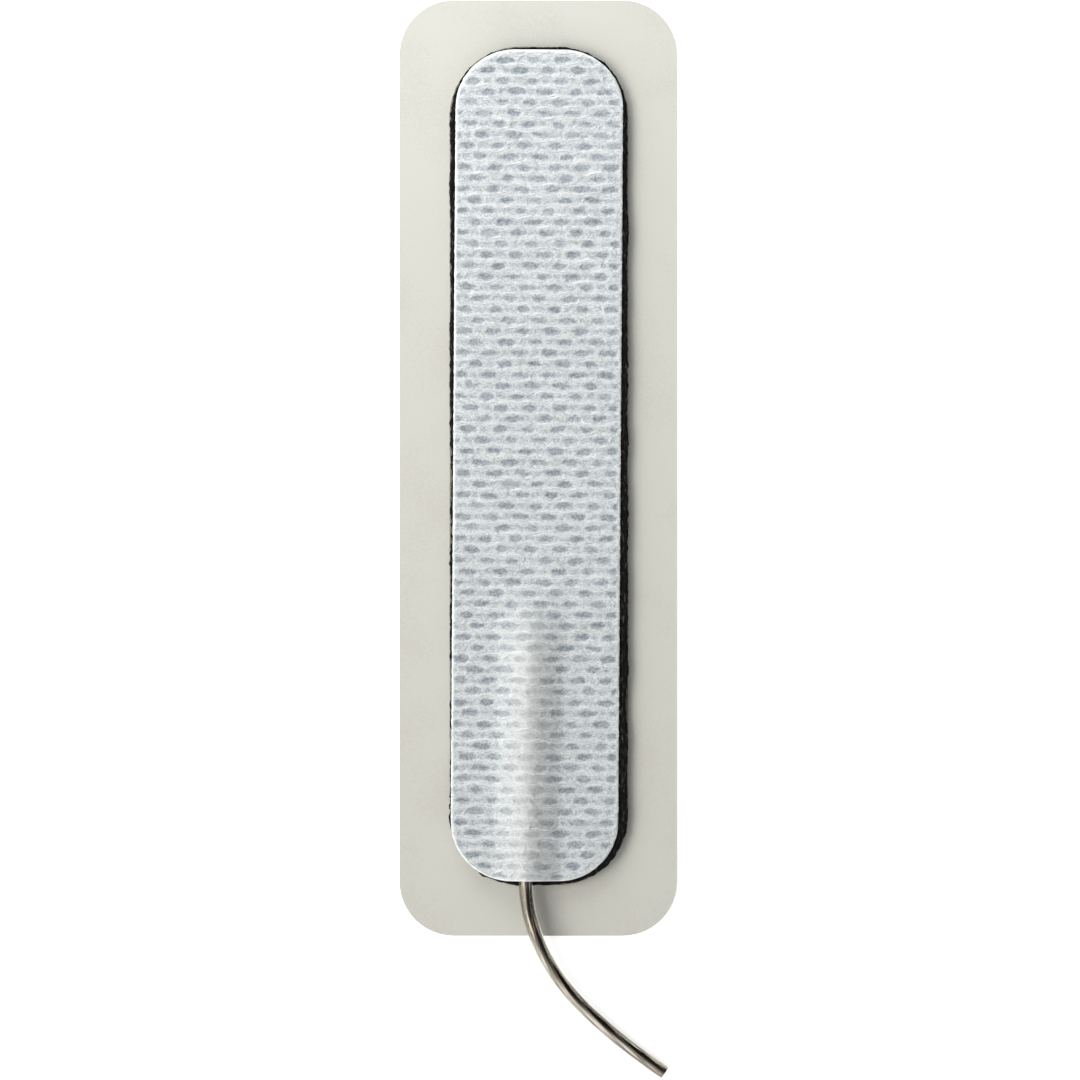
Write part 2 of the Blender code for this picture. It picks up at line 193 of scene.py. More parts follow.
def make_studio():
    """A key softbox along the left, whose light line the lead shows, a low window beyond
    the top, and a room that is bright at the lower left horizon and dark overhead and
    towards the upper right."""
    area_light("key_strip", (-0.707, 0.0, 0.707), 0.70, (0.6, 0.36), 2.3, "#FFFCF5")
    area_light("low_window", (-0.29, 0.894, 0.342), 0.28, (0.25, 0.17), 0.7, "#FBFDFF")

    world = bpy.data.worlds.new("studio_room")
    bpy.context.scene.world = world
    world.use_nodes = True
    tree = world.node_tree
    background = tree.nodes["Background"]
    direction = node(tree, "ShaderNodeTexCoord").outputs["Generated"]
    # How far a direction points to the bright side: 0.92 at the lower left horizon, 0.2
    # overhead and about 0 above the upper right
    side = node(tree, "ShaderNodeVectorMath", {0: direction, 1: (-0.275, -0.325, -0.3)},
                operation="DOT_PRODUCT")
    side = node(tree, "ShaderNodeMath", {0: side.outputs["Value"], 1: 0.5}, operation="ADD")
    room = node(tree, "ShaderNodeValToRGB", {"Fac": side.outputs[0]},
                stops=[(0.0, "#0E0F11"), (0.2, "#444547"), (0.4, "#8D8E8F"), (0.6, "#C2C2C1"),
                       (0.92, "#FFFFFE")])
    tree.links.new(room.outputs["Color"], background.inputs["Color"])
    background.inputs["Strength"].default_value = 2.1


def make_floor():
    """White table top: glows to the camera, in glass and in metal, by as much as turns the
    lit laminate plain white, and still takes the object's shadow."""
    mesh = bpy.data.meshes.new("table_top")
    mesh.from_pydata([(-3, -3, -2e-5), (3, -3, -2e-5), (3, 3, -2e-5), (-3, 3, -2e-5)], [],
                     [(0, 1, 2, 3)])
    finish, tree, shader = new_material("matt white laminate")
    shader.inputs["Base Color"].default_value = colour("#F4F4F2")
    shader.inputs["Roughness"].default_value = 0.9
    path = node(tree, "ShaderNodeLightPath").outputs
    seen = node(tree, "ShaderNodeMath", {0: path["Is Camera Ray"], 1: path["Is Glossy Ray"]},
                operation="MAXIMUM")
    seen = node(tree, "ShaderNodeMath", {0: seen.outputs[0], 1: path["Is Transmission Ray"]},
                operation="MAXIMUM")
    glow = node(tree, "ShaderNodeMath", {0: seen.outputs[0], 1: 0.62}, operation="MULTIPLY")
    shader.inputs["Emission Color"].default_value = (1, 1, 1, 1)
    tree.links.new(glow.outputs[0], shader.inputs["Emission Strength"])
    floor = add_object("table_top", mesh, finish)


# Surfaces


def mesh_piece(name, points, faces, material, attributes=None):
    """A smooth piece from points in millimetres and lists of faces, with one float or one
    vector per point for each attribute."""
    mesh = bpy.data.meshes.new(name)
    mesh.from_pydata((np.asarray(points) * MM).tolist(), [], faces)
    for key, values in (attributes or {}).items():
        values = np.asarray(values, dtype=np.float32)
        kind, field = ("FLOAT_VECTOR", "vector") if values.ndim == 2 else ("FLOAT", "value")
        mesh.attributes.new(key, kind, "POINT").data.foreach_set(field, values.ravel())
    mesh.shade_smooth()
    made = add_object(name, mesh, material)
    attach(made, "root")
    return made


def grid_faces(rows, columns, wrap=False, start=0):
    """Quads of a grid numbered row by row, whose last column may join its first."""
    number = np.arange(rows * columns).reshape(rows, columns) + start
    right = np.roll(number, -1, axis=1)
    if not wrap:
        number, right = number[:, :-1], right[:, :-1]
    return np.stack([number[:-1], right[:-1], right[1:], number[1:]], axis=-1).reshape(-1, 4)


def smooth_step(t):
    """0 below t = 0, 1 above t = 1 and a smooth rise between."""
    t = np.clip(t, 0, 1)
    return t * t * (3 - 2 * t)


def waves(x, y, wavelength, seed, count=24):
    """Smooth noise of about unit height: a sum of plane waves with random directions and
    phases, all near one wavelength."""
    rng = np.random.default_rng(seed)
    turn, phase = rng.uniform(0, 2 * np.pi, (2, count))
    k = 2 * np.pi / (wavelength * rng.uniform(0.7, 1.5, count))
    total = np.zeros(np.broadcast(x, y).shape)
    for kx, ky, start in zip(k * np.cos(turn), k * np.sin(turn), phase):
        total += np.sin(kx * x + ky * y + start)
    return total * np.sqrt(2 / count) / 1.5


def rim_path(size, corner, step):
    """Points and outward normals of a rounded rectangle, anticlockwise and about a step
    apart: each quarter arc is a centre plus the corner's radius times the normal, and a
    straight side runs to the next arc."""
    half = np.array(size) / 2 - corner
    points, normals = [], []
    for quarter in range(4):
        sign = np.array([(1, 1), (-1, 1), (-1, -1), (1, -1)][quarter])
        turn = np.linspace(0, np.pi / 2, int(corner * np.pi / 2 / step) + 1) + quarter * np.pi / 2
        out = np.column_stack([np.cos(turn), np.sin(turn)])
        points.append(half * sign + corner * out)
        normals.append(out)
        side = 2 * half[1] if quarter % 2 else 2 * half[0]
        along = np.linspace(0, side, int(side / step) + 1)[1:-1, None]
        heading = np.array([-out[-1, 1], out[-1, 0]])
        points.append(points[-1][-1] + along * heading)
        normals.append(np.repeat(out[-1:], len(along), axis=0))
    return np.vstack(points), np.vstack(normals)


def layer_piece(name, size, corner, centre, profile, material, step, wobble, seed):
    """One layer of the laminate: a profile of (outset, height) pairs carried round a
    rounded rectangle, from the underside up to the top, closed by two flat caps. The rim
    wobbles in and out as a cut edge does, and what lies more than 1 mm inside stays true."""
    rim, out = rim_path(size, corner, step)
    x, y = rim.T
    drift = wobble * (waves(x, y, 9.0, seed) + 0.6 * waves(x, y, 1.7, seed + 1))
    rings = []
    for number, (outset, height) in enumerate(profile):
        rough = 0.35 * wobble * waves(x + number, y, 0.6, seed + 2 + number)
        reach = outset + (drift + rough if outset > -1 else 0)
        ring = rim + out * np.reshape(reach, (-1, 1))
        rings.append(np.column_stack([ring + np.array(centre), np.full(len(rim), height)]))
    count = len(rim)
    faces = grid_faces(len(rings), count, wrap=True).tolist()
    faces.append(list(range(count))[::-1])
    faces.append(list(range(count * (len(rings) - 1), count * len(rings))))
    return mesh_piece(name, np.vstack(rings), faces, material)


def strips(paths, widths, heights):
    """Closed three-sided strips along many paths at once. A section's corners lie on an
    ellipse, its width across the path and level, its height at right angles to both.
    Returns points and faces."""
    sides = 3
    count, stations, _ = paths.shape
    along = np.gradient(paths, axis=1)
    along /= np.linalg.norm(along, axis=2, keepdims=True)
    side = np.stack([along[..., 1], -along[..., 0], np.zeros((count, stations))], axis=-1)
    side /= np.linalg.norm(side, axis=2, keepdims=True)
    up = np.cross(side, along)
    turn = (np.arange(sides) + 0.25) * 2 * np.pi / sides
    points = (paths[:, :, None]
              + side[:, :, None] * np.cos(turn)[:, None] * widths[..., None, None] / 2
              + up[:, :, None] * np.sin(turn)[:, None] * heights[..., None, None] / 2)
    start = (np.arange(count) * stations * sides)[:, None]
    walls = grid_faces(stations, sides, wrap=True)[:, ::-1] + start[..., None]
    first = np.arange(sides) + start
    last = np.arange(sides)[::-1] + start + (stations - 1) * sides
    faces = walls.reshape(-1, 4).tolist() + first.tolist() + last.tolist()
    return points.reshape(-1, 3), faces


# Lead


def smooth_route(points, count):
    """Resample a smooth curve through the points at equal distances: Catmull-Rom spans,
    each read at 24 steps."""
    points = np.array(points)
    padded = np.vstack([2 * points[0] - points[1], points, 2 * points[-1] - points[-2]])
    t = np.linspace(0, 1, 24, endpoint=False)[:, None]
    dense = []
    for p0, p1, p2, p3 in zip(padded, padded[1:], padded[2:], padded[3:]):
        bend = (2 * p0 - 5 * p1 + 4 * p2 - p3) * t ** 2 + (3 * p1 - p0 - 3 * p2 + p3) * t ** 3
        dense.append(p1 + ((p2 - p0) * t + bend) / 2)
    dense = np.vstack(dense + [points[-1:]])
    length = np.append(0, np.cumsum(np.linalg.norm(np.diff(dense, axis=0), axis=1)))
    even = np.linspace(0, length[-1], count)
    route = np.column_stack([np.interp(even, length, dense[:, axis]) for axis in range(3)])
    return route, length[-1]


def lead_route(count):
    """The lead's centreline from inside the pad to the cut end, with its length."""
    inside = [(x, y, LEAD_Z) for x, y in LEAD_INSIDE + [LEAD_EXIT]]
    return smooth_route(inside + LEAD_OUTSIDE, count)


def lead_x(y):
    """Centreline X of the lead under the cloth, a straight line in Y."""
    (x0, y0), (x1, y1) = LEAD_INSIDE[0], LEAD_EXIT
    return x0 + (y - y0) * (x1 - x0) / (y1 - y0)


def lead_frame(count):
    """Centreline of the lead with its sideways and upward directions and its length."""
    route, length = lead_route(count)
    along = np.gradient(route, axis=0)
    along /= np.linalg.norm(along, axis=1, keepdims=True)
    side = np.column_stack([along[:, 1], -along[:, 0], np.zeros(count)])
    side /= np.linalg.norm(side, axis=1, keepdims=True)
    return route, side, np.cross(side, along), length


def make_jacket(material):
    """Clear jacket: a closed round rod along the lead. It is extruded onto the strands with
    no air between, so it is solid here and they lie in it."""
    route, side, up, length = lead_frame(240)
    turn = np.linspace(0, 2 * np.pi, 40, endpoint=False)
    wall = side[:, None] * np.cos(turn)[:, None] + up[:, None] * np.sin(turn)[:, None]
    points = (route[:, None] + wall * JACKET_RADIUS).reshape(-1, 3)
    faces = grid_faces(len(route), len(turn), wrap=True)[:, ::-1].tolist()
    ring = np.arange(len(turn))
    faces += [ring.tolist(), (ring + len(points) - len(turn))[::-1].tolist()]
    jacket = mesh_piece("clear_jacket", points, faces, material)
    jacket.data.set_sharp_from_angle(angle=CRISP_ANGLE)
    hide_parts("lead_jacket")
    return jacket, route, length


def fan_place(index):
    """Place of a strand in the fan, in pitches from the middle, on its own side."""
    if index == 0:
        return 0
    side = -round(np.cos(2 * np.pi * index / OUTER_STRANDS) * 2)
    upper = index in range(1, OUTER_STRANDS // 2)
    return side + (1 if side > 0 else -1) * (1 if abs(side) == 2 or upper else 0)


def strand_sections(index):
    """Section of a strand as (outward, sideways) offsets from its centreline, round and
    compacted. Pressed together the outer strands become rounded sectors of a smooth
    bundle: radius and angle are both superellipses of one turn. The core swells towards
    them by a twentieth."""
    turn = np.linspace(0, 2 * np.pi, STRAND_SIDES, endpoint=False)
    out, across = np.sin(turn), np.cos(turn)
    round_section = STRAND_RADIUS * np.column_stack([out, across])
    if index == 0:
        return round_section, round_section * 1.05
    swell = np.sign(out) * np.abs(out) ** SECTOR_POWER
    spread = np.sign(across) * np.abs(across) ** SECTOR_POWER
    inner, outer = SECTOR_INNER_RADIUS, BUNDLE_RADIUS
    radius = (outer + inner) / 2 + (outer - inner) / 2 * swell
    angle = SECTOR_HALF_ANGLE * spread
    outward = radius * np.cos(angle) - STRAND_RING_RADIUS
    return round_section, np.column_stack([outward, radius * np.sin(angle)])


def make_strands(material):
    """The seven wires of the conductor. Each runs from its tip in the fan to the cut end:
    the core straight, the others circling it once in each lay length. Past the jacket all
    ease down onto the film and spread. A wire's section turns from round in the fan to
    compacted in the jacket."""
    count = 240
    route, side, up, length = lead_frame(count)
    walked = np.linspace(0, length, count)
    strands = []
    for index in range(OUTER_STRANDS + 1):
        turn = 2 * np.pi * (index / OUTER_STRANDS - walked / LAY_LENGTH)[:, None]
        out = side * np.cos(turn) + up * np.sin(turn)
        across = up * np.cos(turn) - side * np.sin(turn)
        inside = route + out * (STRAND_RING_RADIUS if index else 0.0)
        order = fan_place(index)
        t = np.linspace(1, 0, FAN_STATIONS, endpoint=False)
        ease = smooth_step(t)
        y = inside[0, 1] + (STRIPPED_LENGTH - abs(order) * FAN_STAGGER) * t
        x = inside[0, 0] + (lead_x(y) + order * FAN_PITCH - inside[0, 0]) * ease
        rest = CLOTH_BOTTOM + STRAND_RADIUS
        z = inside[0, 2] + (rest - inside[0, 2]) * ease
        middle = np.vstack([np.column_stack([x, y, z]), inside])
        out = np.vstack([np.repeat(out[:1], len(t), axis=0), out])
        across = np.vstack([np.repeat(across[:1], len(t), axis=0), across])
        # Compacted over the first tenth of the jacket
        station = np.arange(len(middle))
        pressed = np.clip((station - FAN_STATIONS) / (count / 10), 0, 1)[:, None, None]
        loose, compact = strand_sections(index)
        section = loose + (compact - loose) * pressed
        points = (middle[:, None] + out[:, None] * section[..., :1]
                  + across[:, None] * section[..., 1:])
        faces = grid_faces(len(middle), STRAND_SIDES, wrap=True).tolist()
        ring = np.arange(STRAND_SIDES)
        faces += [ring[::-1].tolist(), (ring + (len(middle) - 1) * STRAND_SIDES).tolist()]
        # Place on the wire as if straight and round, for its streaks. Each starts 9 mm on
        around = np.linspace(0, 2 * np.pi, STRAND_SIDES, endpoint=False)
        drawn = np.stack(np.broadcast_arrays(
            STRAND_RADIUS * np.cos(around), STRAND_RADIUS * np.sin(around),
            (station * length / count + 9.0 * index)[:, None]), axis=-1)
        strand = mesh_piece(f"wire_strand_{index + 1}", points.reshape(-1, 3), faces, material,
                            {"drawn": drawn.reshape(-1, 3)})
        strand.data.set_sharp_from_angle(angle=CRISP_ANGLE)
        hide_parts(f"conductor_strand_{index + 1}")
        strands.append(strand)
    return strands


# Cloth


def ridge_lift(x, y):
    """Lift of the cloth over the lead: a tent whose flanks fall along a hyperbola, so that
    its crest is round. Its foot runs out in a parabola, and all of it fades along Y."""
    drop = np.hypot(x - lead_x(y), CREST_ROUNDING) - CREST_ROUNDING
    share = 1 - drop / (np.hypot(RIDGE_HALF_WIDTH, CREST_ROUNDING) - CREST_ROUNDING)
    foot = np.clip(share + SOFT_FOOT, 0, 2 * SOFT_FOOT)
    share = np.maximum(share - SOFT_FOOT, 0) + foot ** 2 / (4 * SOFT_FOOT)
    return RIDGE_HEIGHT * smooth_step((RIDGE_END_Y - y) / (RIDGE_END_Y - RIDGE_FULL_Y)) * share


def dimple_table():
    """Seeded irregularity of each dimple: shift aside and along the cloth, length, width,
    strength and tilt, by row and column."""
    rng = np.random.default_rng(41)
    size = (DIMPLE_ROWS, DIMPLE_COLUMNS)
    return np.stack([
        rng.normal(0, 0.14, size),
        rng.normal(0, 0.05, size),
        rng.uniform(1.9, 2.9, size),
        rng.uniform(0.85, 1.1, size),
        rng.uniform(0.75, 1.0, size),
        rng.normal(0, 0.05, size),
    ], axis=-1)


DIMPLES = dimple_table()


def row_shift(row):
    """Where a row's dimples are counted from, across the cloth."""
    return FIRST_DIMPLE[0] + row * ROW_DRIFT + (row % 2) * DIMPLE_PITCH / 2


def dimple_place(a, b):
    """Row, column and own offset of a point from its nearest dimple's place."""
    row = np.round((b - FIRST_DIMPLE[1]) / ROW_PITCH).astype(int)
    shift = row_shift(row)
    column = np.round((a - shift) / DIMPLE_PITCH).astype(int)
    return row, column, a - shift - column * DIMPLE_PITCH, b - FIRST_DIMPLE[1] - row * ROW_PITCH


def pressed_share(a, b):
    """How far the calender pressed the cloth at a point, 0 to 1: a soft oval at each place
    of the brick pattern, its distance from the middle run through a smooth step, a smaller
    shallow one half way to the next, and a shallow groove that joins a row's ovals."""
    row, column, da, db = dimple_place(a, b)
    own = DIMPLES[(row + DIMPLE_ROWS // 2) % DIMPLE_ROWS,
                  (column + DIMPLE_COLUMNS // 2) % DIMPLE_COLUMNS]
    aside, along, length, width, strength, tilt = np.moveaxis(own, -1, 0)
    rough = 0.07 * waves(a, b, 1.1, 7) + 0.04 * waves(a, b, 0.6, 8)
    db = db - along - tilt * da + rough
    near = np.hypot((da - aside) / (length / 2), db / (width / 2))
    between = np.hypot((np.abs(da) - DIMPLE_PITCH / 2 + aside) / 0.65, db / 0.33)
    main = strength * smooth_step((1.25 - near) / 0.6)
    minor = 0.45 * strength * smooth_step((1.3 - between) / 0.75)
    depth = np.clip(0.21 + 0.1 * waves(a, b, 1.8, 9), 0, 1)
    groove = depth * smooth_step(1.35 - np.abs(db) / 0.42)
    return np.maximum(np.maximum(main, minor), groove)


def half_width(b):
    """Half the cloth's width at a place along it: straight sides and quarter arcs."""
    past = np.clip(np.abs(b) - (CLOTH_SIZE[1] / 2 - CLOTH_CORNER), 0, CLOTH_CORNER)
    return CLOTH_SIZE[0] / 2 - CLOTH_CORNER + np.sqrt(CLOTH_CORNER ** 2 - past ** 2)


def place_cloth(a, b):
    """X and Y in the pad's frame of a point on the cloth's own axes, with the far end drawn
    in."""
    b = b - FAR_END_CUT * np.clip((b - FAR_END_START) / FAR_END_STRETCH, 0, 1)
    x = CLOTH_CENTRE[0] + a * np.cos(CLOTH_TURN) - b * np.sin(CLOTH_TURN)
    y = CLOTH_CENTRE[1] + a * np.sin(CLOTH_TURN) + b * np.cos(CLOTH_TURN)
    return x, y


def cloth_top(a, b, pressed):
    """Height of the cloth's upper face: flat, plus the ridge, less the embossing, which the
    stretched cloth on the ridge has lost in part."""
    x, y = place_cloth(a, b)
    lift = ridge_lift(x, y)
    loss = 1 - 0.45 * lift / RIDGE_HEIGHT
    puff = 0.03 * waves(a, b, 1.1, 11) + 0.02 * waves(a, 3 * b, 0.9, 12)
    return CLOTH_TOP + lift - DIMPLE_DEPTH * pressed * loss + puff * (1 - pressed)


def make_cloth(material):
    """The embossed cloth as a closed sheet. Its upper face is a grid in which a column is a
    share of the width there and rows close up towards the round ends. The underside is
    every third row and column of it, following the ridge, and a wall joins the two. The
    counts of rows and columns are the lengths over a step, a little fewer across and along
    the arcs, to the nearest three below."""
    step = 0.19
    columns = 3 * int(CLOTH_SIZE[0] / step / 3 * 0.87) + 1
    arc_rows = 3 * int(CLOTH_CORNER * 1.45 / step / 3)
    straight_rows = 3 * int((CLOTH_SIZE[1] - 2 * CLOTH_CORNER) / step / 3)
    straight = CLOTH_SIZE[1] / 2 - CLOTH_CORNER
    level = CLOTH_SIZE[0] / 2 - CLOTH_CORNER
    turn = np.linspace(0, np.pi / 2, arc_rows + 1)[1:]
    arc = straight + CLOTH_CORNER * np.sin(turn)
    middle = np.linspace(-straight, straight, straight_rows + 1)
    b = np.concatenate([-arc[::-1], middle, arc])[:, None]
    share = np.linspace(-1, 1, columns)[None]
    fray = 0.025 * waves(b, 0 * b, 0.8, 21) + 0.02 * waves(b, 0 * b, 0.45, 22)
    a = share * (half_width(b) + fray * (np.abs(share) > 0.5))
    b = np.broadcast_to(b, a.shape).copy()

    # Distance from the rim, and how far the cloth has melted down there
    rim = np.minimum(half_width(b) - np.abs(a), CLOTH_SIZE[1] / 2 - np.abs(b))
    corner = np.hypot(np.clip(np.abs(a) - level, 0, None), np.clip(np.abs(b) - straight, 0, None))
    in_corner = (np.abs(b) > straight) & (np.abs(a) > level)
    rim = np.where(in_corner, CLOTH_CORNER - corner, rim)
    wider = FAR_END_MELT * np.clip((b - 54 - a / 4) / 4, 0, 1)
    melt = MELT_WIDTH + 0.08 * waves(a, b, 1.6, 23) + wider
    near = np.clip(1 - rim / np.maximum(melt, 0.1), 0, 1)
    pressed = pressed_share(a, b) * np.clip((rim - melt / 2) / 0.5, 0, 1)
    top = cloth_top(a, b, pressed) - MELT_FALL * near ** 2

    x, y = place_cloth(a, b)
    rows = len(b)
    upper = np.column_stack([x.ravel(), y.ravel(), top.ravel()])
    xs, ys = x[::3, ::3], y[::3, ::3]
    lower = np.column_stack([xs.ravel(), ys.ravel(), (CLOTH_BOTTOM + ridge_lift(xs, ys)).ravel()])
    coarse_rows, coarse_columns = xs.shape
    number = np.arange(rows * columns).reshape(rows, columns)
    under = np.arange(coarse_rows * coarse_columns).reshape(xs.shape) + rows * columns
    faces = grid_faces(rows, columns).tolist()
    faces += grid_faces(coarse_rows, coarse_columns, start=rows * columns)[:, ::-1].tolist()
    loops = [
        (number[0], under[0]), (number[:, -1], under[:, -1]),
        (number[-1, ::-1], under[-1, ::-1]), (number[::-1, 0], under[::-1, 0]),
    ]
    for fine, coarse in loops:
        wall = [fine[3::3], fine[2::3], fine[1::3], fine[:-1:3], coarse[:-1], coarse[1:]]
        faces += np.column_stack(wall).tolist()
    zeros = np.zeros(len(lower))
    lift = ridge_lift(x, y).ravel() / RIDGE_HEIGHT
    cloth = mesh_piece("embossed_cloth", np.vstack([upper, lower]), faces, material, {
        "pressed": np.concatenate([pressed.ravel(), zeros]),
        "rim": np.concatenate([np.clip(1.7 * near.ravel(), 0, 1), zeros]),
        "ridge": np.concatenate([lift, zeros]),
    })
    cloth.data.set_sharp_from_angle(angle=np.radians(60))
    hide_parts("cloth_cover")
    return cloth


def fibre_piece(name, a, b, width, bridge, lift, shade, material):
    """Fibres lying on the cloth, those wholly within its outline: each a flat three-sided
    strip along its path, at the height of the cloth's face there. Over a dimple it spans
    the hollow by its bridge share."""
    inset = 0.08
    within = (np.abs(b) < CLOTH_SIZE[1] / 2 - inset) & (np.abs(a) < half_width(b) - inset)
    within = within.all(axis=1)
    a, b, width, lift, shade = a[within], b[within], width[within], lift[within], shade[within]
    pressed = pressed_share(a, b)
    z = cloth_top(a, b, pressed * (1 - bridge)) + lift
    x, y = place_cloth(a, b)
    stations = a.shape[1]
    taper = 1 - 0.75 * np.abs(np.linspace(-1, 1, stations)) ** 4
    points, faces = strips(np.stack([x, y, z], axis=-1), width * taper, width * 0.35 * taper)
    piece = mesh_piece(name, points, faces, material, {
        "shade": np.repeat(shade, stations * 3),
        "pressed": np.repeat(pressed.ravel(), 3),
    })
    return piece


def curled_paths(a, b, length, heading, bend):
    """Seven points along each of many short fibres: a straight way through its middle at its
    heading, moved along the pad by half its bend times the square of the way."""
    walked = np.linspace(-0.5, 0.5, 7) * length
    return a + walked * np.cos(heading), b + walked * np.sin(heading) + bend * walked ** 2 / 2


def make_fibres(material):
    """The fibres that show on the cloth, in three pieces: crosswise bundles between the
    dimple rows, slanting links from row to row, and fine loose fibres over all of it."""
    rng = np.random.default_rng(5)
    part = 1.0
    half_across, half_along = CLOTH_SIZE[0] / 2, CLOTH_SIZE[1] / 2

    # Bundles swing round the dimples of the rows on both sides as they run across
    one_each = (int(2600 * part), 1)
    row = rng.integers(-ROWS_EACH_WAY, ROWS_EACH_WAY, one_each)
    length = rng.uniform(1.5, 6.0, one_each)
    middle = rng.uniform(-half_across, half_across, one_each)
    a = middle + length * np.linspace(-0.5, 0.5, 13)
    swing = 0.16 * np.cos(2 * np.pi * (a - row_shift(row)) / DIMPLE_PITCH)
    slant = rng.normal(0, 0.03, one_each) * (a - middle)
    astray = rng.normal(0, 0.12, one_each)
    b = FIRST_DIMPLE[1] + (row + 0.5) * ROW_PITCH + swing + slant + astray
    b = b + 0.03 * waves(a, b + row, 0.9, 31)
    width = rng.uniform(0.1, 0.19, one_each)
    lift = rng.uniform(-0.02, 0.02, one_each)
    shade = rng.uniform(0.45, 1, one_each)
    bundles = fibre_piece("cloth_bundles", a, b, width, 0.3, lift, shade, material)

    # Links start in the gap between two dimples of a row and slant up to the next bundle
    one_each = (int(2300 * part), 1)
    row = rng.integers(-ROWS_EACH_WAY, ROWS_EACH_WAY, one_each)
    column = rng.integers(-COLUMNS_EACH_WAY, COLUMNS_EACH_WAY, one_each)
    gap = row_shift(row) + (column + 0.5) * DIMPLE_PITCH
    a = gap + rng.choice([-1, 1], one_each) * rng.uniform(0.2, 1.1, one_each)
    length = rng.uniform(0.7, 1.6, one_each)
    heading = rng.choice([-1, 1], one_each) * rng.uniform(0.3, 1.3, one_each)
    bend = rng.normal(0, 0.5, one_each)
    b = FIRST_DIMPLE[1] + row * ROW_PITCH + rng.normal(0, 0.25, one_each)
    a, b = curled_paths(a, b, length, heading, bend)
    width = rng.uniform(0.08, 0.14, one_each)
    lift = rng.uniform(-0.01, 0.03, one_each)
    shade = rng.uniform(0.45, 1, one_each)
    links = fibre_piece("cloth_links", a, b, width, 0.4, lift, shade, material)

    # Loose fibres lie mostly crosswise and keep clear of the dimples' middles
    one_each = (int(4500 * part), 1)
    a = rng.uniform(-half_across, half_across, one_each)
    b = rng.uniform(-half_along, half_along, one_each)
    clear = (pressed_share(a, b) < 0.15) | (rng.uniform(0, 1, one_each) < 0.12)
    a, b = a[clear][:, None], b[clear][:, None]
    one_each = a.shape
    length = rng.uniform(0.6, 2.2, one_each)
    heading = rng.normal(0, 0.5, one_each)
    bend = rng.normal(0, 0.35, one_each)
    a, b = curled_paths(a, b, length, heading, bend)
    width = rng.uniform(0.05, 0.1, one_each)
    lift = rng.uniform(0.0, 0.03, one_each)
    shade = rng.uniform(0, 1, one_each)
    loose = fibre_piece("cloth_loose_fibres", a, b, width, 0.5, lift, shade, material)
    return [bundles, links, loose]


# Materials


def object_mm(tree, scale=(1, 1, 1)):
    """Object coordinates in millimetres, times a scale."""
    place = node(tree, "ShaderNodeTexCoord").outputs["Object"]
    factor = tuple(s / MM for s in scale)
    return node(tree, "ShaderNodeMapping", {"Vector": place, "Scale": factor}).outputs["Vector"]


def liner_material():
    """Polyester film, cast and silicone coated: satin, warm light grey, with the fine tooth
    of its coating."""
    made, tree, shader = new_material("silicone coated polyester film")
    place = object_mm(tree)
    # Coating tooth, 0.25 mm across: real tooth is finer and wouldn't show
    tooth = node(tree, "ShaderNodeTexNoise", {"Vector": place, "Scale": 4.0, "Detail": 3.0})
    # Uneven coating in clouds 11 mm across, barely seen
    cloud = node(tree, "ShaderNodeTexNoise", {"Vector": place, "Scale": 0.09, "Detail": 2.0})
    blend = node(tree, "ShaderNodeMath", {0: tooth.outputs["Fac"], 1: cloud.outputs["Fac"]},
                 operation="ADD")
    tone = node(tree, "ShaderNodeValToRGB", {"Fac": blend.outputs[0]},
                stops=[(0.8, "#D5D3CA"), (1.0, "#DAD9D0")])
    tree.links.new(tone.outputs["Color"], shader.inputs["Base Color"])
    shader.inputs["Roughness"].default_value = 0.5
    bump = node(tree, "ShaderNodeBump", {"Height": tooth.outputs["Fac"], "Strength": 0.4,
                                         "Distance": 0.02 * MM})
    tree.links.new(bump.outputs["Normal"], shader.inputs["Normal"])
    return made


def gel_material():
    """Hydrogel, cast wet: clear, faintly warm and glossy, so its rim glints."""
    made, tree, shader = new_material("clear hydrogel")
    shader.inputs["Base Color"].default_value = colour("#E9E7DC")
    shader.inputs["Roughness"].default_value = 0.06
    shader.inputs["IOR"].default_value = 1.38
    shader.inputs["Transmission Weight"].default_value = 0.9
    # The wet gel's skin wavers every 0.8 mm or so, which breaks up the glint
    waver = node(tree, "ShaderNodeTexNoise", {"Vector": object_mm(tree), "Scale": 1.2,
                                              "Detail": 2.0})
    bump = node(tree, "ShaderNodeBump", {"Height": waver.outputs["Fac"], "Strength": 0.5,
                                         "Distance": 0.1 * MM})
    tree.links.new(bump.outputs["Normal"], shader.inputs["Normal"])
    return made


def film_material():
    """Carbon filled film with a scrim pressed into it: near black, half matt, with fibres along its
    cut edge that catch the light. The light grey marks in its colour are partly the scrim's own
    fibres and partly painted glint."""
    made, tree, shader = new_material("carbon filled film")
    # Fibre marks 0.12 mm wide and nearly a millimetre long, running down the pad. Their light grey
    # is partly the scrim's own and partly painted glint
    marks_and_glints = node(tree, "ShaderNodeTexNoise", {"Vector": object_mm(tree, (8, 1.1, 8)), "Scale": 1.0,
                                              "Detail": 4.0, "Distortion": 0.8})
    tone = node(tree, "ShaderNodeValToRGB", {"Fac": marks_and_glints.outputs["Fac"]},
                stops=[(0.46, "#050505"), (0.6, "#161514"), (0.72, "#6E6C67")])
    tree.links.new(tone.outputs["Color"], shader.inputs["Base Color"])
    shader.inputs["Roughness"].default_value = 0.5
    shader.inputs["Specular IOR Level"].default_value = 0.12
    bump = node(tree, "ShaderNodeBump", {"Height": marks_and_glints.outputs["Fac"], "Strength": 0.8,
                                         "Distance": 0.08 * MM})
    tree.links.new(bump.outputs["Normal"], shader.inputs["Normal"])
    return made


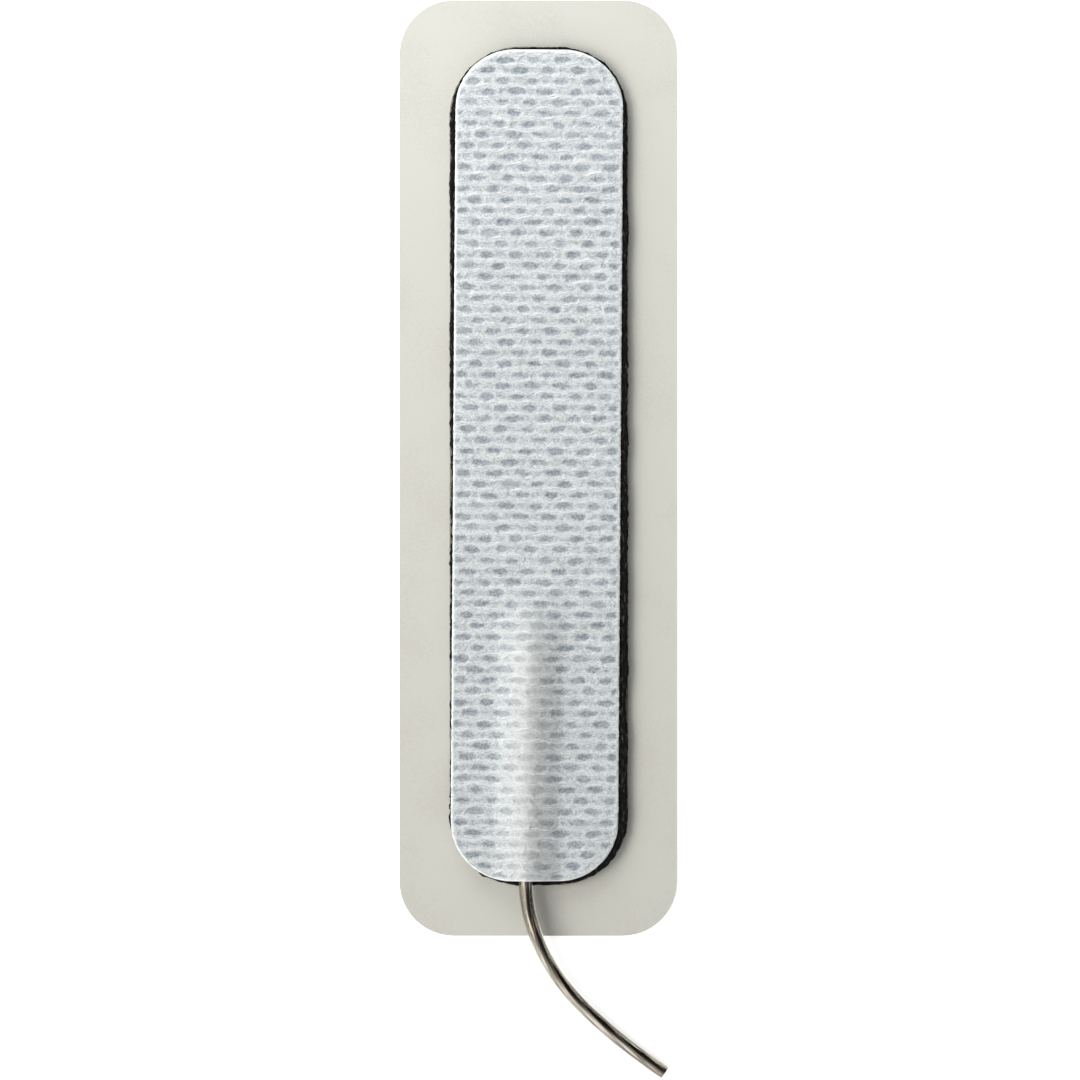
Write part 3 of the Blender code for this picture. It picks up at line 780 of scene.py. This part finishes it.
def cloth_material():
    """Nonwoven polypropylene, calendered: soft white with crosswise fibres. Where the
    embossing has pressed it thin the black film below shows through as blue grey, and the
    cut rim is melted white."""
    made, tree, shader = new_material("embossed nonwoven polypropylene")
    pressed = node(tree, "ShaderNodeAttribute", attribute_name="pressed").outputs["Fac"]
    rim = node(tree, "ShaderNodeAttribute", attribute_name="rim").outputs["Fac"]
    ridge = node(tree, "ShaderNodeAttribute", attribute_name="ridge").outputs["Fac"]
    # Fibre ends 0.18 mm wide and 0.55 mm long, lying across the pad, and specks of 0.28 mm.
    # Single fibres are a tenth of that and wouldn't show
    fibres = node(tree, "ShaderNodeTexNoise", {"Vector": object_mm(tree, (1.8, 5.5, 1)),
                                               "Scale": 1.0, "Detail": 3.0, "Distortion": 0.6})
    specks = node(tree, "ShaderNodeTexNoise", {"Vector": object_mm(tree), "Scale": 3.6,
                                               "Detail": 2.0})
    web = node(tree, "ShaderNodeMath", {0: fibres.outputs["Fac"], 1: specks.outputs["Fac"]},
               operation="ADD")
    # The web's mean is 1.0, where both ramps step up: half of it lies on top and is lighter
    white = node(tree, "ShaderNodeValToRGB", {"Fac": web.outputs[0]},
                 stops=[(0.7, "#CAD1D6"), (1.0, "#DBE0E3"), (1.0, "#EFF2F3")])
    deep = node(tree, "ShaderNodeValToRGB", {"Fac": web.outputs[0]},
                stops=[(0.7, "#909AA2"), (1.0, "#A3ADB4"), (1.0, "#BEC5CB")])
    body = node(tree, "ShaderNodeMix", {"Factor": pressed, 6: white.outputs["Color"],
                                        7: deep.outputs["Color"]}, data_type="RGBA")
    # Off the black film the cloth over the lead is whiter and loses its blue. This whitening is
    # also painted light: it lifts the shaded flank as light passing through the tent would
    whitened_share = node(tree, "ShaderNodeMath", {0: ridge, 1: 0.55}, operation="MULTIPLY")
    whitened_ridge = node(tree, "ShaderNodeMix", {"Factor": whitened_share.outputs[0], 6: body.outputs[2],
                                          7: colour("#EAE8E5")}, data_type="RGBA")
    whole = node(tree, "ShaderNodeMix", {"Factor": rim, 6: whitened_ridge.outputs[2], 7: colour("#FAFBFA")},
                 data_type="RGBA")
    tree.links.new(whole.outputs[2], shader.inputs["Base Color"])
    shader.inputs["Roughness"].default_value = 0.85
    # The fibres scatter light back between them, which softens the shading of the ridge
    shader.inputs["Diffuse Roughness"].default_value = 1.0
    shader.inputs["Sheen Weight"].default_value = 0.1
    bump = node(tree, "ShaderNodeBump", {"Height": web.outputs[0], "Strength": 0.5,
                                         "Distance": 0.04 * MM})
    tree.links.new(bump.outputs["Normal"], shader.inputs["Normal"])
    return made


def fibre_material():
    """Polypropylene fibre, spun: bright white, a little glossy, each its own shade, and
    dulled where it is pressed into a dimple."""
    made, tree, shader = new_material("spun polypropylene fibre")
    shade = node(tree, "ShaderNodeAttribute", attribute_name="shade").outputs["Fac"]
    pressed = node(tree, "ShaderNodeAttribute", attribute_name="pressed").outputs["Fac"]
    tone = node(tree, "ShaderNodeValToRGB", {"Fac": shade},
                stops=[(0.0, "#D2D8DB"), (0.5, "#E6E9EA"), (1.0, "#F6F7F7")])
    dull = node(tree, "ShaderNodeValToRGB", {"Fac": shade},
                stops=[(0.0, "#A1ABB2"), (1.0, "#C5CCD1")])
    whole = node(tree, "ShaderNodeMix", {"Factor": pressed, 6: tone.outputs["Color"],
                                         7: dull.outputs["Color"]}, data_type="RGBA")
    tree.links.new(whole.outputs[2], shader.inputs["Base Color"])
    shader.inputs["Roughness"].default_value = 0.6
    shader.inputs["Diffuse Roughness"].default_value = 1.0
    return made


def vinyl_material():
    """Soft PVC, extruded clear: water clear with a high gloss."""
    made, tree, shader = new_material("clear soft PVC")
    shader.inputs["Base Color"].default_value = colour("#F2F3F1")
    shader.inputs["Roughness"].default_value = 0.03
    shader.inputs["IOR"].default_value = 1.53
    shader.inputs["Transmission Weight"].default_value = 1.0
    return made


def wire_material():
    """Tinned copper, drawn: grey metal with a warm cast, streaked along each wire with draw
    lines and worn tin."""
    made, tree, shader = new_material("tinned copper wire")
    drawn = node(tree, "ShaderNodeAttribute", attribute_name="drawn").outputs["Vector"]
    # Draw lines are a few micrometres wide and wouldn't show: these are 0.12 mm wide and
    # 8 mm long
    lines = node(tree, "ShaderNodeMapping", {"Vector": drawn, "Scale": (8.0, 8.0, 0.12)})
    lines = node(tree, "ShaderNodeTexNoise", {"Vector": lines.outputs["Vector"], "Scale": 1.0,
                                              "Detail": 2.0})
    tone = node(tree, "ShaderNodeValToRGB", {"Fac": lines.outputs["Fac"]},
                stops=[(0.36, "#645A4D"), (0.5, "#A69C8F"), (0.64, "#D6CFC4")])
    tree.links.new(tone.outputs["Color"], shader.inputs["Base Color"])
    shader.inputs["Metallic"].default_value = 1.0
    shader.inputs["Roughness"].default_value = 0.1
    bump = node(tree, "ShaderNodeBump", {"Height": lines.outputs["Fac"], "Strength": 0.2,
                                         "Distance": 0.01 * MM})
    tree.links.new(bump.outputs["Normal"], shader.inputs["Normal"])
    return made


# Assembly

bpy.context.scene.view_settings.view_transform = "Standard"
make_camera()

jacket, lead_line, lead_length = make_jacket(vinyl_material())
strands = make_strands(wire_material())

make_studio()
make_floor()

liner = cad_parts["release_liner"]
for slot in liner.material_slots:
    slot.material = liner_material()

gel = layer_piece("hydrogel_sheet", PAD_SIZE, PAD_CORNER, PAD_CENTRE, GEL_RIM, gel_material(),
                  step=0.25, wobble=0.03, seed=60)
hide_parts("hydrogel_layer")
film = layer_piece("black_conductive_film", PAD_SIZE, PAD_CORNER, PAD_CENTRE, FILM_RIM,
                   film_material(), step=0.2, wobble=0.13, seed=70)
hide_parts("conductive_layer")

cloth = make_cloth(cloth_material())
fibres = make_fibres(fibre_material())
